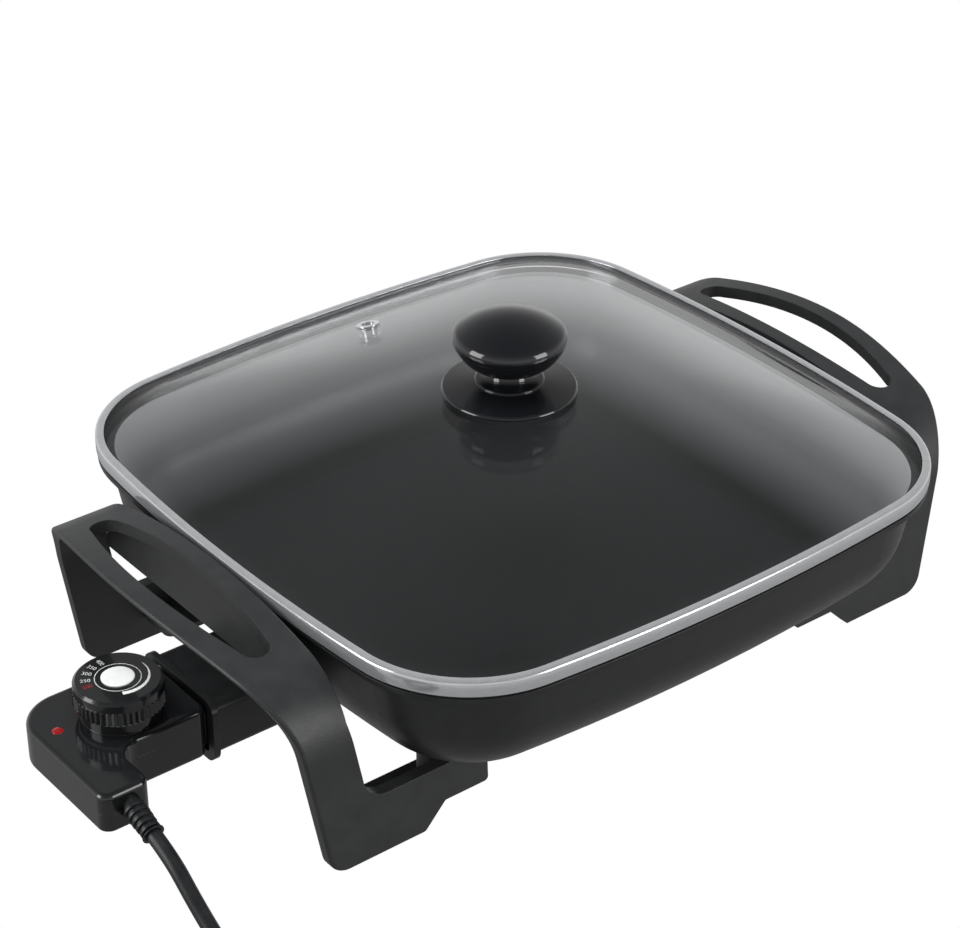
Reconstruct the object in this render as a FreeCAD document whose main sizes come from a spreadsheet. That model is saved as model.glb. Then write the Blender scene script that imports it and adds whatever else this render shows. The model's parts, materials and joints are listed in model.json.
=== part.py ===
import FreeCAD, Part
import math
import os
from FreeCAD import Placement, Rotation, Vector

# A countertop skillet: a square pan on two arched handle-and-leg mouldings, a lift-off
# glass lid, and a plug-in heat controller with its cord.
# X runs from handle to handle, with the controller on the -X side, +Z is up, and the
# origin lies on the table under the middle of the pan.

doc = FreeCAD.newDocument("Skillet")
sheet = doc.addObject("Spreadsheet::Sheet", "Sizes")

DRIVING = {
    # Pan
    "pan_half_x": 157.5, "pan_half_y": 154.5, "pan_corner": 60.0, "side_bow": 1000.0,
    "floor_height": 36.0, "pan_depth": 54.5, "lip_thick": 2.5, "seat_rise": 0.9,
    "seat_inset": 3.0, "wall_inset": 5.0, "wall_taper": 10.0, "bottom_round": 38.0,
    "wall_thick": 3.0, "floor_thick": 4.0,
    # Heating element and the casting that holds it
    "element_half": 84.0, "element_radius": 3.4, "element_corner": 28.0, "ridge_width": 14.0,
    "ridge_drop": 5.0, "block_half_y": 27.0, "block_bottom": 22.0, "block_outer": 116.0,
    "block_inner": 78.0, "terminal_height": 31.0, "terminal_spacing": 22.0, "pin_radius": 2.4,
    "sheath_end": 124.0, "pin_end": 168.0, "insulator_length": 5.0, "insulator_radius": 3.9,
    # Handle and leg mouldings
    "arch_top": 101.5, "arch_radius": 300.0, "shoulder_radius": 36.0, "foot_half_y": 100.7,
    "leg_lean": 0.048, "ribbon_thick": 6.0, "lip_clear": 3.0, "leg_flare": 9.6,
    "flare_height": 64.0, "flare_radius": 58.0, "foot_outer": 172.5, "foot_inner": 126.0,
    "foot_round": 10.0, "tab_end": 91.0, "tab_bottom": 12.0, "panel_top": 30.0,
    "slot_inner": 168.0, "slot_outer": 194.3, "slot_half": 64.0, "slot_end_radius": 7.0,
    "slot_inner_bow": 3.8, "slot_outer_bow": 8.6, "edge_round": 1.6,
    "web_thick": 3.0, "web_width": 22.0, "mount_x": 110.0, "mount_y": 86.0,
    "boss_radius": 7.0, "screw_radius": 2.0, "screw_head_radius": 4.0, "screw_head_height": 2.6,
    "screw_clear": 0.3, "counterbore": 4.0,
    # Socket guard
    "guard_mouth": 181.6, "guard_root": 141.0, "guard_tongue_end": 95.0, "guard_half_y": 24.5,
    "guard_low": 20.5, "guard_high": 47.0, "guard_wall": 2.0, "flange_thick": 3.0,
    "flange_width": 2.5, "guard_screw_x": 105.0, "guard_screw_y": 20.5,
    # Lid
    "lid_gap": 0.3, "band_overhang": 0.5, "band_height": 7.3, "band_wall": 0.9,
    "band_flange": 4.0, "glass_thick": 4.0, "glass_fit": 0.1, "glass_rim": 7.0,
    "dome_rise": 27.1, "vent_inset": 46.5, "vent_bore": 3.2, "vent_radius": 4.0,
    "vent_flange": 5.6, "vent_flange_thick": 0.8,
    # Lid knob
    "knob_base_radius": 30.9, "knob_gasket_thick": 1.2, "knob_base_edge": 1.8,
    "knob_base_height": 4.4, "collar_radius": 15.5, "neck_radius": 9.0, "neck_height": 11.0,
    "cap_radius": 25.8, "cap_height": 28.0, "crown_height": 10.4, "knob_screw_radius": 2.5,
    # Heat controller
    "housing_outer": 250.0, "housing_inner": 182.5, "housing_far": 25.0, "housing_near": 24.5,
    "tail_inner": 227.0, "tail_end": 51.0, "housing_bottom": 30.0, "belly_bottom": 22.5,
    "belly_outer": 232.0, "housing_split": 38.0, "housing_top": 48.0, "housing_wall": 2.2,
    "far_round": 20.0, "inside_round": 10.0, "small_round": 5.0, "top_round": 2.5,
    "nose_length": 20.0, "nose_half_y": 21.5, "nose_low": 25.0, "nose_high": 43.0,
    "probe_radius": 3.0, "probe_tip": 90.0, "probe_tail": 196.0, "run_clear": 0.08,
    "clip_wall": 0.9, "clip_length": 18.0,
    # Dial
    "dial_x": 213.0, "dial_y": 5.0, "dial_collar_radius": 16.8, "dial_collar_height": 4.9,
    "dial_gap": 0.3, "dial_ring_radius": 18.0, "dial_ring_height": 1.6, "knurl_radius": 19.7,
    "knurl_depth": 0.7, "knurl_height": 6.2, "dial_band_radius": 19.2, "dial_band_height": 5.0,
    "dial_bevel": 1.2, "dial_cap_radius": 7.2, "dial_cap_height": 0.7, "spindle_radius": 3.0,
    "lens_x": 240.5, "lens_radius": 2.6,
    # Cord and plug
    "cord_radius": 3.5, "relief_length": 17.0, "relief_inside": 5.6, "relief_radius": 5.2,
    "relief_tilt": 17.0, "cord_x": 237.0, "cord_exit_height": 39.0, "coil_radius": 42.0,
    "coil_pitch": 8.7, "plug_stand_off": 30.0, "plug_length": 34.0,
    "plug_half_width": 12.5, "plug_half_height": 11.8,
    "blade_length": 17.0, "blade_width": 6.3, "blade_thick": 1.5, "blade_spacing": 12.7,
}

KNURLS = 48
RELIEF_RINGS = 5


def fill_sheet():
    for row, (alias, number) in enumerate(DRIVING.items(), start=1):
        sheet.set("A%d" % row, alias)
        sheet.set("B%d" % row, str(number))
        sheet.setAlias("B%d" % row, alias)
    doc.recompute()


fill_sheet()


class Read:
    def __getattr__(self, alias):
        return float(sheet.get(alias))


d = Read()

# Heights that follow from the stack of pan, lip and lid
lip_under = d.floor_height + d.pan_depth
lip_top = lip_under + d.lip_thick
seat_top = lip_top + d.seat_rise
band_bottom = seat_top + d.lid_gap
rim_top = band_bottom + d.band_height
glass_top = rim_top - d.band_wall
floor_top = d.floor_height + d.floor_thick


def plane_of(body, role):
    return next(item for item in body.Origin.OriginFeatures if item.Role == role)


def new_body(label):
    body = doc.addObject("PartDesign::Body", "Body_" + label)
    body.Label = label
    return body


def new_sketch(body, name, role, offset, geometry):
    sketch = body.newObject("Sketcher::SketchObject", body.Label + "_" + name)
    sketch.AttachmentSupport = (plane_of(body, role), [""])
    sketch.MapMode = "FlatFace"
    sketch.AttachmentOffset = Placement(Vector(0, 0, 0), Rotation())
    sketch.setExpression("AttachmentOffset.Base.z", offset)
    sketch.addGeometry(geometry, False)
    return sketch


def new_pad(body, sketch, length, taper=None, backwards=False):
    pad = body.newObject("PartDesign::Pad", sketch.Name + "_pad")
    pad.Profile = sketch
    pad.setExpression("Length", length)
    pad.Reversed = backwards
    if taper:
        pad.setExpression("TaperAngle", taper)
    doc.recompute()
    return pad


def new_pocket(body, sketch, length, taper=None, backwards=False):
    before = body.Shape.Volume
    pocket = body.newObject("PartDesign::Pocket", sketch.Name + "_pocket")
    pocket.Profile = sketch
    pocket.setExpression("Length", length)
    pocket.Reversed = backwards
    if taper:
        pocket.setExpression("TaperAngle", taper)
    doc.recompute()
    if body.Shape.Volume > before - 0.01:
        raise ValueError(pocket.Name + " cut nothing")
    return pocket


def new_fillet(body, edges, radius):
    base = body.Tip
    fillet = body.newObject("PartDesign::Fillet", body.Label + "_fillet")
    fillet.Base = (base, edges)
    fillet.setExpression("Radius", radius)
    doc.recompute()
    if "Invalid" in fillet.State:
        raise ValueError(fillet.Name + " failed")
    return fillet


def level_edges(shape, height):
    # Names of the edges that lie level at one height
    names = []
    for index, edge in enumerate(shape.Edges, start=1):
        box = edge.BoundBox
        if abs(box.ZMin - height) < 0.01 and abs(box.ZMax - height) < 0.01:
            names.append("Edge%d" % index)
    return names


def revolve(body, sketch):
    turned = body.newObject("PartDesign::Revolution", sketch.Name + "_turned")
    turned.Profile = sketch
    turned.ReferenceAxis = (sketch, ["V_Axis"])
    turned.Angle = 360.0
    doc.recompute()
    return turned


def feature(label, shape):
    item = doc.addObject("Part::Feature", "Part_" + label)
    item.Shape = shape
    item.Label = label
    item.Placement = Placement()
    return item


def bowed_square(half_x, half_y, corner, bow):
    # Four bowed sides and four round corners, each arc tangent to the next
    side_x = half_x - bow
    side_y = half_y - bow
    reach = bow - corner
    span = math.hypot(side_x, side_y)
    middle = Vector(side_x / 2, side_y / 2, 0)
    away = math.sqrt(reach * reach - span * span / 4)
    centre = middle + Vector(-side_y, -side_x, 0) * (away / span)
    turn_x = math.atan2(centre.y, centre.x - side_x)
    turn_y = math.atan2(centre.y - side_y, centre.x)
    arcs = []
    for quarter in range(4):
        start, corner_at = quarter * math.pi / 2, centre
        low, high, side = turn_x, turn_y, Vector(side_x, 0, 0)
        next_side = Vector(0, side_y, 0)
        if quarter % 2:
            corner_at = Vector(centre.y, centre.x, 0)
            low, high = math.pi / 2 - turn_y, math.pi / 2 - turn_x
            side = Vector(side_y, 0, 0)
        turn = Rotation(Vector(0, 0, 1), math.degrees(start))
        arcs.append(arc_of(turn.multVec(side), bow, start - low, start + low))
        arcs.append(arc_of(turn.multVec(corner_at), corner, start + low, start + high))
    return arcs


def arc_of(centre, radius, start, end):
    return Part.ArcOfCircle(Part.Circle(centre, Vector(0, 0, 1), radius), start, end)


def wire_of(geometry, height=0.0):
    wire = Part.Wire([item.toShape() for item in geometry])
    wire.translate(Vector(0, 0, height))
    return wire


def rounded_outline(corners, inset=0.0):
    # A closed outline, counter-clockwise: each corner is (x, y, radius). An inset draws every
    # side in by the same amount, so that a wall keeps its thickness.
    count = len(corners)
    points = [Vector(x, y, 0) for x, y, radius in corners]
    moved = []
    for index, point in enumerate(points):
        before = (point - points[index - 1]).normalize()
        after = (points[(index + 1) % count] - point).normalize()
        bend = before.x * after.y - before.y * after.x
        normal = Vector(-before.y - after.y, before.x + after.x, 0)
        scale = inset / (1 + before.dot(after))
        radius = corners[index][2]
        radius = max(radius - inset, 0.0) if bend > 0 else radius + inset if radius else 0.0
        moved.append((point + normal * scale, radius))
    geometry, joints = [], []
    for index, (point, radius) in enumerate(moved):
        before = (point - moved[index - 1][0]).normalize()
        after = (moved[(index + 1) % count][0] - point).normalize()
        if radius < 0.01:
            joints.append((point, point, None))
            continue
        half = math.acos(max(-1.0, min(1.0, before.dot(after)))) / 2
        cut = radius * math.tan(half)
        inward = (after - before).normalize()
        crown = point + inward * (radius / math.cos(half) - radius)
        joints.append((point - before * cut, point + after * cut, crown))
    for index, (arrive, leave, crown) in enumerate(joints):
        if crown is not None:
            geometry.append(Part.Arc(arrive, crown, leave))
        onward = joints[(index + 1) % count][0]
        if (onward - leave).Length > 0.01:
            geometry.append(Part.LineSegment(leave, onward))
    return geometry


def rectangle(low_x, low_y, high_x, high_y, radius=0.0):
    corners = [(low_x, low_y, radius), (high_x, low_y, radius)]
    corners += [(high_x, high_y, radius), (low_x, high_y, radius)]
    return rounded_outline(corners)


def circle(x, y, radius):
    return Part.Circle(Vector(x, y, 0), Vector(0, 0, 1), radius)


def rod(start, direction, radius, length):
    return Part.makeCylinder(radius, length, start, direction)


def block(low, high):
    size = high - low
    return Part.makeBox(size.x, size.y, size.z, low)


def prism(geometry, height, low):
    face = Part.Face(wire_of(geometry, low))
    return face.extrude(Vector(0, 0, height))


def build_pan():
    body = new_body("pan_casting")
    drawn_in = d.wall_inset + d.pan_depth * math.tan(math.radians(d.wall_taper))
    outline = bowed_square(d.pan_half_x - drawn_in, d.pan_half_y - drawn_in,
                           d.pan_corner - drawn_in, d.side_bow)
    base = new_sketch(body, "underside", "XY_Plane", "Sizes.floor_height", outline)
    new_pad(body, base, "Sizes.pan_depth", "Sizes.wall_taper")
    new_fillet(body, level_edges(body.Shape, d.floor_height), "Sizes.bottom_round")

    lip = new_sketch(body, "lip", "XY_Plane", "Sizes.floor_height + Sizes.pan_depth",
                     bowed_square(d.pan_half_x, d.pan_half_y, d.pan_corner, d.side_bow))
    new_pad(body, lip, "Sizes.lip_thick")
    seat = bowed_square(d.pan_half_x - d.seat_inset, d.pan_half_y - d.seat_inset,
                        d.pan_corner - d.seat_inset, d.side_bow)
    seat = new_sketch(body, "seat", "XY_Plane",
                      "Sizes.floor_height + Sizes.pan_depth + Sizes.lip_thick", seat)
    new_pad(body, seat, "Sizes.seat_rise")

    ridge_out = d.element_half + d.ridge_width / 2
    ridge_in = d.element_half - d.ridge_width / 2
    ridge = rectangle(-ridge_out, -ridge_out, ridge_out, ridge_out,
                      d.element_corner + d.ridge_width / 2)
    ridge += rectangle(-ridge_in, -ridge_in, ridge_in, ridge_in,
                       d.element_corner - d.ridge_width / 2)
    ridge = new_sketch(body, "ridge", "XY_Plane", "Sizes.floor_height - Sizes.ridge_drop", ridge)
    new_pad(body, ridge, "Sizes.ridge_drop + Sizes.floor_thick / 2")

    lug = rectangle(-d.block_outer, -d.block_half_y, -d.block_inner, d.block_half_y, 4.0)
    lug = new_sketch(body, "block", "XY_Plane", "Sizes.block_bottom", lug)
    new_pad(body, lug, "Sizes.floor_height + Sizes.floor_thick / 2 - Sizes.block_bottom")

    bosses = [circle(side * d.mount_x, end * d.mount_y, d.boss_radius)
              for side in (-1, 1) for end in (-1, 1)]
    bosses = new_sketch(body, "bosses", "XY_Plane", "Sizes.panel_top", bosses)
    new_pad(body, bosses, "Sizes.floor_height + Sizes.floor_thick / 2 - Sizes.panel_top")

    screws = [circle(side * d.mount_x, end * d.mount_y, d.screw_radius)
              for side in (-1, 1) for end in (-1, 1)]
    screws = new_sketch(body, "screw_holes", "XY_Plane", "Sizes.panel_top", screws)
    new_pocket(body, screws, "Sizes.floor_height + Sizes.floor_thick / 2 - Sizes.panel_top",
               backwards=True)
    guard = [circle(-d.guard_screw_x, end * d.guard_screw_y, d.screw_radius) for end in (-1, 1)]
    guard = new_sketch(body, "guard_holes", "XY_Plane", "Sizes.block_bottom", guard)
    new_pocket(body, guard, "Sizes.floor_height - Sizes.block_bottom", backwards=True)
    bore = circle(0, d.terminal_height, d.probe_radius + d.run_clear)
    bore = new_sketch(body, "probe_bore", "YZ_Plane", "-Sizes.block_outer", [bore])
    new_pocket(body, bore, "Sizes.block_outer - Sizes.probe_tip + 1", backwards=True)
    return body


def build_cavity():
    # The cooking space: the same bowed square, drawn in to leave the wall, on a round floor edge
    body = new_body("pan_cavity")
    depth = seat_top - floor_top
    drawn_in = d.wall_inset + d.wall_thick + depth * math.tan(math.radians(d.wall_taper))
    outline = bowed_square(d.pan_half_x - drawn_in, d.pan_half_y - drawn_in,
                           d.pan_corner - drawn_in, d.side_bow)
    base = new_sketch(body, "floor", "XY_Plane", "Sizes.floor_height + Sizes.floor_thick",
                      outline)
    deep = "Sizes.pan_depth + Sizes.lip_thick + Sizes.seat_rise - Sizes.floor_thick"
    new_pad(body, base, deep, "Sizes.wall_taper")
    new_fillet(body, level_edges(body.Shape, floor_top),
               "Sizes.bottom_round - Sizes.floor_thick")
    return body


def element_path():
    # One loop under the floor, open on the controller side, with straight ends to the terminals
    half, apart = d.element_half, d.terminal_spacing / 2
    corners = [(-half, -apart, d.element_corner / 2), (-half, -half, d.element_corner),
               (half, -half, d.element_corner), (half, half, d.element_corner),
               (-half, half, d.element_corner), (-half, apart, d.element_corner / 2)]
    points = [Vector(x, y, 0) for x, y, radius in corners]
    start, end = Vector(-d.sheath_end, -apart, 0), Vector(-d.sheath_end, apart, 0)
    edges, here = [], start
    for index, (x, y, radius) in enumerate(corners):
        point = points[index]
        before = (point - (points[index - 1] if index else start)).normalize()
        onward = points[index + 1] if index + 1 < len(points) else end
        after = (onward - point).normalize()
        arrive, leave = point - before * radius, point + after * radius
        crown = point + (after - before).normalize() * (radius * (math.sqrt(2) - 1))
        edges.append(Part.LineSegment(here, arrive).toShape())
        edges.append(Part.Arc(arrive, crown, leave).toShape())
        here = leave
    edges.append(Part.LineSegment(here, end).toShape())
    wire = Part.Wire(edges)
    wire.translate(Vector(0, 0, d.terminal_height))
    return wire


def tube(path, radius):
    edge = path.Edges[0]
    start = edge.valueAt(edge.FirstParameter)
    heading = edge.tangentAt(edge.FirstParameter)
    ring = Part.Wire(Part.makeCircle(radius, start, heading))
    return path.makePipeShell([ring], True, False)


def build_element():
    feature("heating_element", tube(element_path(), d.element_radius))
    pins, sleeves = [], []
    for side in (-1, 1):
        root = Vector(-d.sheath_end, side * d.terminal_spacing / 2, d.terminal_height)
        pins.append(rod(root, Vector(-1, 0, 0), d.pin_radius, d.pin_end - d.sheath_end))
        sleeve = rod(root, Vector(-1, 0, 0), d.insulator_radius, d.insulator_length)
        sleeves.append(sleeve.cut(pins[-1]))
    feature("terminal_pins", Part.makeCompound(pins))
    feature("terminal_insulators", Part.makeCompound(sleeves))


def finish_pan(body, cavity):
    element = doc.getObjectsByLabel("heating_element")[0]
    bowl = doc.addObject("Part::Cut", "Part_bowl")
    bowl.Base = body
    bowl.Tool = cavity
    pan = doc.addObject("Part::Cut", "Part_pan")
    pan.Base = bowl
    pan.Tool = element
    pan.Label = "pan"
    doc.recompute()
    return pan


def arch_outline(inset):
    # Half of the arch: straight leaning leg, round shoulder, then the long low crown
    foot = d.foot_half_y - inset * math.hypot(1, d.leg_lean)
    crown = d.arch_radius - inset
    shoulder = d.shoulder_radius - inset
    low = d.arch_top - d.arch_radius
    lean = math.atan(d.leg_lean)
    gap = shoulder / math.cos(lean)
    # The shoulder's centre lies one radius in from the leg's line and inside the crown's circle
    a = 1 + d.leg_lean ** 2
    b = -2 * d.leg_lean * (foot - gap) - 2 * low
    c = (foot - gap) ** 2 + low ** 2 - (crown - shoulder) ** 2
    z = (-b + math.sqrt(b * b - 4 * a * c)) / (2 * a)
    y = foot - gap - d.leg_lean * z
    leg_at = Vector(y + shoulder * math.cos(lean), z + shoulder * math.sin(lean), 0)
    away = Vector(y, z - low, 0).normalize()
    crown_at = Vector(0, low, 0) + away * crown
    between = (Vector(math.cos(lean), math.sin(lean), 0) + away).normalize()
    mid = Vector(y, z, 0) + between * shoulder
    top = Vector(0, low + crown, 0)

    def flip(point):
        return Vector(-point.x, point.y, 0)

    foot_at = Vector(foot, 0, 0)
    edges = [Part.LineSegment(foot_at, leg_at), Part.Arc(leg_at, mid, crown_at),
             Part.Arc(crown_at, top, flip(crown_at)),
             Part.Arc(flip(crown_at), flip(mid), flip(leg_at)),
             Part.LineSegment(flip(leg_at), flip(foot_at)),
             Part.LineSegment(flip(foot_at), foot_at)]
    return Part.Wire([edge.toShape() for edge in edges])


def side_outline():
    # The moulding seen along Y: foot, stepped tab under the pan, and the flared outer edge
    lean = math.radians(d.leg_flare)
    bend_x = d.foot_outer + d.flare_height * math.tan(lean)
    bend = Vector(bend_x, d.flare_height, 0)
    centre = bend + Vector(math.cos(lean), -math.sin(lean), 0) * d.flare_radius
    top = d.arch_top + 4.0
    end_angle = math.asin((top - centre.y) / d.flare_radius)
    tip = Vector(centre.x - d.flare_radius * math.cos(end_angle), top, 0)
    mid_angle = (end_angle + lean) / 2
    mid = centre + Vector(-math.cos(mid_angle), math.sin(mid_angle), 0) * d.flare_radius
    inner = d.pan_half_x + d.lip_clear
    drop = inner - (d.arch_top - d.panel_top) * math.tan(lean) * 0.6
    step = d.foot_inner - d.tab_bottom
    corners = [(d.foot_inner, 0, 0), (d.foot_outer, 0, d.foot_round), (bend.x, bend.y, 0),
               (tip.x, tip.y, 0), (inner, top, 0), (inner, d.arch_top * 0.7, 0),
               (drop, d.panel_top, 12.0), (d.tab_end, d.panel_top, 6.0),
               (d.tab_end, d.tab_bottom, 2.0), (step, d.tab_bottom, 1.5)]
    edges = []
    for item in rounded_outline(corners):
        ends = [item.StartPoint, item.EndPoint]
        if (ends[0] - bend).Length < 0.01 and (ends[1] - tip).Length < 0.01:
            item = Part.Arc(bend, mid, tip)
        edges.append(item)
    return edges


def slot_outline():
    # The finger slot: a lens between two bowed sides, closed by round ends
    half = d.slot_half - d.slot_end_radius
    inner_end = d.slot_inner + d.slot_inner_bow
    outer_end = d.slot_outer - d.slot_outer_bow
    middle = (inner_end + outer_end) / 2
    points = [Vector(inner_end, -half, 0), Vector(outer_end, -half, 0),
              Vector(outer_end, half, 0), Vector(inner_end, half, 0)]
    return [Part.Arc(points[0], Vector(middle, -d.slot_half, 0), points[1]),
            Part.Arc(points[1], Vector(d.slot_outer, 0, 0), points[2]),
            Part.Arc(points[2], Vector(middle, d.slot_half, 0), points[3]),
            Part.Arc(points[3], Vector(d.slot_inner, 0, 0), points[0])]


def handle_shape():
    reach = d.slot_outer + d.flare_radius
    turn = Rotation(Vector(1, 1, 1), 120)
    arch = Part.Face(arch_outline(0)).cut(Part.Face(arch_outline(d.ribbon_thick)))
    arch.Placement = Placement(Vector(0, 0, 0), turn)
    arch = arch.extrude(Vector(reach, 0, 0))
    side = prism(side_outline(), 2 * d.foot_half_y + 20, -d.foot_half_y - 10)
    side.rotate(Vector(0, 0, 0), Vector(1, 0, 0), 90)
    moulding = arch.common(side)
    slot = prism(slot_outline(), d.arch_top, d.arch_top * 0.7)
    moulding = moulding.cut(slot)
    extras = []
    for end in (-1, 1):
        leg = d.foot_half_y - d.ribbon_thick - d.leg_lean * d.tab_bottom + 1.0
        span = sorted((end * leg, end * (leg - d.web_width)))
        web = prism(rectangle(d.tab_end + 2.0, span[0], d.foot_inner + 16.0, span[1], 4.0),
                    d.web_thick, d.tab_bottom)
        boss = rod(Vector(d.mount_x, end * d.mount_y, d.tab_bottom), Vector(0, 0, 1),
                   d.boss_radius, d.panel_top - d.tab_bottom)
        extras += [web, boss]
    moulding = moulding.fuse(extras)
    for end in (-1, 1):
        foot = Vector(d.mount_x, end * d.mount_y, d.tab_bottom)
        up = Vector(0, 0, 1)
        moulding = moulding.cut(rod(foot, up, d.screw_radius + d.screw_clear, d.panel_top))
        moulding = moulding.cut(rod(foot, up, d.screw_head_radius + d.screw_clear,
                                    d.counterbore))
    return moulding.removeSplitter()


def round_grip(shape):
    # The grip's outer top edge is rounded all the way down both legs
    grip = [edge for edge in shape.Edges
            if edge.BoundBox.ZMax > d.arch_top - 0.5 and edge.BoundBox.XMax > d.slot_outer + 2]
    return shape.makeFillet(d.edge_round, grip)


def build_handles():
    right = round_grip(handle_shape())
    left = right.mirror(Vector(0, 0, 0), Vector(1, 0, 0))
    feature("right_handle", right)
    feature("left_handle", left)
    screws = []
    for side in (-1, 1):
        for end in (-1, 1):
            screws.append(upward_screw(side * d.mount_x, end * d.mount_y,
                                       d.tab_bottom + d.counterbore,
                                       d.floor_height + d.floor_thick / 2 - 0.5))
    feature("handle_screws", Part.makeCompound(screws))


def upward_screw(x, y, seat, tip):
    up = Vector(0, 0, 1)
    head = rod(Vector(x, y, seat - d.screw_head_height), up, d.screw_head_radius,
               d.screw_head_height)
    return head.fuse(rod(Vector(x, y, seat), up, d.screw_radius, tip - seat)).removeSplitter()


def build_guard():
    low, high, half = d.guard_low, d.guard_high, d.guard_half_y
    wide = d.flange_width
    turn = Rotation(Vector(1, 1, 1), 120)

    def sleeve(grow, start, length):
        outline = rectangle(-half - grow, low - grow, half + grow, high + grow, 4.0 + grow)
        solid = prism(outline, length, start)
        solid.Placement = Placement(Vector(0, 0, 0), turn)
        return solid

    length = d.guard_mouth - d.guard_root
    shape = sleeve(0, -d.guard_mouth, length).fuse(sleeve(wide, -d.guard_mouth, d.flange_thick))
    shape = shape.cut(sleeve(-d.guard_wall, -d.guard_mouth - 1, length + 2))
    tongue = prism(rectangle(-d.guard_root - 4, -half, -d.guard_tongue_end, half, 3.0),
                   d.block_bottom - low, low)
    shape = shape.fuse(tongue)
    screws = []
    for end in (-1, 1):
        at = Vector(-d.guard_screw_x, end * d.guard_screw_y, low - 1)
        shape = shape.cut(rod(at, Vector(0, 0, 1), d.screw_radius + d.screw_clear, 10))
        screws.append(upward_screw(at.x, at.y, low, d.floor_height - 0.5))
    feature("socket_guard", shape.removeSplitter())
    feature("guard_screws", Part.makeCompound(screws))


def dome_part(share):
    # Size, corner radius, bow and rise of the dome at a share of its half width
    rim = d.pan_half_x + d.band_overhang - d.band_wall - d.glass_rim
    half = rim * share
    short, long = sorted((half, half - (d.pan_half_x - d.pan_half_y) * share))
    bow = max(d.side_bow * share ** 2, 1.3 * half)
    # The roundest corner that these two sides leave room for meets its mirror image mid-side
    room = (bow ** 2 - long ** 2 - (bow - short) ** 2) / (2 * (bow - long))
    corner = d.pan_corner - 5 + max(half - d.pan_corner, 0) * (1 - share)
    return half, min(corner, 0.96 * half, 0.985 * room), bow, d.dome_rise * (1 - share ** 2.2)


def dome_solid(base):
    wires = []
    uneven = d.pan_half_x - d.pan_half_y
    for share in (1.0, 0.94, 0.84, 0.7, 0.52, 0.34, 0.2):
        half, corner, bow, rise = dome_part(share)
        geometry = bowed_square(half, half - uneven * share, corner, bow)
        wires.append(wire_of(geometry, base + rise))
    return Part.makeLoft(wires, True, False)


dome_crest = glass_top + dome_part(0.2)[3]


def band_outline(inset):
    return bowed_square(d.pan_half_x + d.band_overhang - inset,
                        d.pan_half_y + d.band_overhang - inset,
                        d.pan_corner + d.band_overhang - inset, d.side_bow)


def vent_place():
    half = dome_part(1.0)[0] - (d.pan_half_x - d.pan_half_y)
    vent_y = d.pan_half_y - d.vent_inset
    share = vent_y / half
    height = glass_top + dome_part(share)[3]
    slope = d.dome_rise * 2.2 * share ** 1.2 / half
    tilt = Rotation(Vector(1, 0, 0), -math.degrees(math.atan(slope)))
    return Placement(Vector(0, vent_y, height), tilt)


def build_lid():
    inset = d.band_wall + d.glass_fit
    plate = prism(band_outline(inset), d.glass_thick, glass_top - d.glass_thick)
    glass = plate.fuse(dome_solid(glass_top)).cut(dome_solid(glass_top - d.glass_thick))
    glass = glass.cut(rod(Vector(0, 0, glass_top), Vector(0, 0, 1), d.knob_screw_radius + 0.6,
                          d.dome_rise + 5))
    place = vent_place()
    vent = rod(Vector(0, 0, -2 * d.glass_thick), Vector(0, 0, 1), d.vent_radius + 0.1,
               4 * d.glass_thick)
    vent.Placement = place
    feature("lid_glass", glass.cut(vent))

    ring = prism(band_outline(0), d.band_height, band_bottom)
    ring = ring.cut(prism(band_outline(d.band_wall), d.band_height - 2 * d.band_wall,
                          band_bottom + d.band_wall))
    ring = ring.cut(prism(band_outline(d.band_flange), d.band_height + 2, band_bottom - 1))
    feature("lid_band", ring)
    seal_low = band_bottom + d.band_wall
    seal_high = glass_top - d.glass_thick
    seal = prism(band_outline(inset), seal_high - seal_low, seal_low)
    seal = seal.cut(prism(band_outline(d.band_flange - 0.4), seal_high - seal_low + 2,
                          seal_low - 1))
    feature("lid_seal", seal)

    up = Vector(0, 0, 1)
    thick = d.vent_flange_thick
    below = Vector(0, 0, -d.glass_thick - thick - 0.2)
    grommet = rod(below, up, d.vent_radius, d.glass_thick + 2 * thick + 0.4)
    grommet = grommet.fuse(rod(Vector(0, 0, 0.2), up, d.vent_flange, thick))
    grommet = grommet.fuse(rod(below, up, d.vent_flange, thick))
    grommet = grommet.cut(rod(below - up, up, d.vent_bore, 3 * d.glass_thick))
    grommet.Placement = place
    feature("vent_grommet", grommet.removeSplitter())


def profile(points):
    # A closed turned profile: a point written (r, z) is a corner, (r, z, r2, z2) an arc's
    # middle and end
    edges = []
    here = Vector(points[0][0], points[0][1], 0)
    for step in points[1:] + points[:1]:
        if len(step) == 4:
            end = Vector(step[2], step[3], 0)
            edges.append(Part.Arc(here, Vector(step[0], step[1], 0), end))
        else:
            end = Vector(step[0], step[1], 0)
            edges.append(Part.LineSegment(here, end))
        here = end
    return edges


def domed(radius, height, rise):
    # An arc from a turned profile's edge to the axis, centred on the axis
    ball = (radius * radius + rise * rise) / (2 * rise)
    half = math.asin(radius / ball) / 2
    return ball * math.sin(half), height + rise - ball * (1 - math.cos(half)), 0, height + rise


def turned_body(label, points):
    body = new_body(label)
    revolve(body, new_sketch(body, "profile", "XZ_Plane", "0", profile(points)))
    return body


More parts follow.
